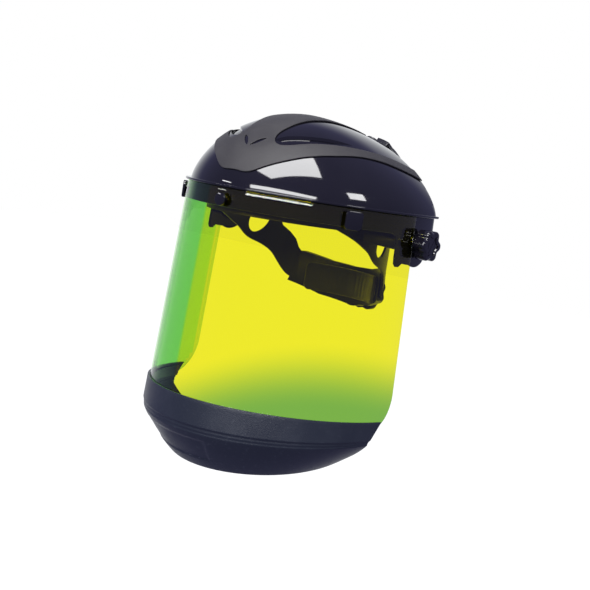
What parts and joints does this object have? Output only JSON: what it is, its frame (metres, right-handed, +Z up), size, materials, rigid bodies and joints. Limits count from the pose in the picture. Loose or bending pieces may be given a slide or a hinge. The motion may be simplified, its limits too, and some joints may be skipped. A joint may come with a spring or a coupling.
{
  "type": "face shield",
  "caption": "Tilting face shield: tinted wraparound window under a glossy crown with a grey cover panel, a chin guard and ratchet headgear with a padded band.",
  "frame": {"origin": "middle of the crown's tilt axis, at the wearer's temples", "axes": "-Y is the front, +X the wearer's left, +Z up"},
  "size_m": [0.2736, 0.2731, 0.3436],
  "materials": {
    "gloss_black": "high gloss",
    "panel_grey": "fine matte grain",
    "window_tint": "clear, yellow-green tint",
    "guard_navy": "matte",
    "band_black": "satin",
    "pad_fabric": "knitted cover over foam",
    "steel": "plated"
  },
  "bodies": {
    "headgear": {"headband": "band_black", "sweatband": "pad_fabric", "nape_pad": "pad_fabric", "crown_strap_left": "band_black", "crown_strap_right": "band_black", "crown_strap_tongue": "band_black", "nape_sleeve": "band_black", "ratchet_housing": "band_black", "pivot_bracket_left": "band_black", "pivot_bracket_right": "band_black", "pivot_bolt_left": "steel", "pivot_bolt_right": "steel", "pivot_washer_left": "steel", "pivot_washer_right": "steel", "crown_strap_peg": "band_black", "crown_strap_slider": "band_black"},
    "face_guard": {"crown_shell": "gloss_black", "crown_panel": "panel_grey", "visor_window": "window_tint", "chin_guard": "guard_navy", "vent_baffle_left": "gloss_black", "vent_baffle_right": "gloss_black"},
    "left_latch": {"latch_left": "gloss_black"},
    "right_latch": {"latch_right": "gloss_black"},
    "front_latch": {"latch_front": "gloss_black"},
    "left_tension_knob": {"tension_knob_left": "gloss_black", "knob_nut_left": "steel"},
    "right_tension_knob": {"tension_knob_right": "gloss_black", "knob_nut_right": "steel"},
    "ratchet_drive": {"ratchet_pinion": "band_black", "ratchet_knob": "gloss_black", "ratchet_screw": "steel"},
    "left_rack": {"rack_left": "band_black"},
    "right_rack": {"rack_right": "band_black"}
  },
  "joints": [
    {"name": "crown_tilt", "type": "hinge", "parent": "headgear", "child": "face_guard", "pos_m": [0, 0, 0], "axis": [-1, 0, 0], "range_deg": [0, 75], "deforming": ["crown_strap_left", "crown_strap_right", "crown_strap_tongue", "crown_strap_peg", "crown_strap_slider"]},
    {"name": "left_latch_press", "type": "slide", "parent": "face_guard", "child": "left_latch", "axis": [-0.8692, 0.4944, 0], "range_m": [0, 0.003], "stiffness_N_per_m": 400},
    {"name": "right_latch_press", "type": "slide", "parent": "face_guard", "child": "right_latch", "axis": [0.8692, 0.4944, 0], "range_m": [0, 0.003], "stiffness_N_per_m": 400},
    {"name": "front_latch_press", "type": "slide", "parent": "face_guard", "child": "front_latch", "axis": [0, 1, 0], "range_m": [0, 0.003], "stiffness_N_per_m": 400},
    {"name": "left_tension_turn", "type": "hinge", "parent": "headgear", "child": "left_tension_knob", "pos_m": [0.13, 0, 0], "axis": [1, 0, 0], "range_deg": [-90, 180]},
    {"name": "right_tension_turn", "type": "hinge", "parent": "headgear", "child": "right_tension_knob", "pos_m": [-0.13, 0, 0], "axis": [-1, 0, 0], "range_deg": [-90, 180]},
    {"name": "ratchet_turn", "type": "hinge", "parent": "headgear", "child": "ratchet_drive", "pos_m": [0, 0.076, -0.0655], "axis": [0, 1, 0], "range_deg": [-90, 90]},
    {"name": "left_rack_travel", "type": "hinge", "parent": "headgear", "child": "left_rack", "pos_m": [0, 0.00943, -0.0655], "axis": [0, 0, 1], "range_deg": [-7.2, 7.2]},
    {"name": "right_rack_travel", "type": "hinge", "parent": "headgear", "child": "right_rack", "pos_m": [0, 0.00943, -0.0655], "axis": [0, 0, 1], "range_deg": [-7.2, 7.2]}
  ],
  "couplings": [
    {"joint": "left_rack_travel", "follows": "ratchet_turn", "ratio": -0.0763},
    {"joint": "right_rack_travel", "follows": "ratchet_turn", "ratio": 0.0763}
  ]
}
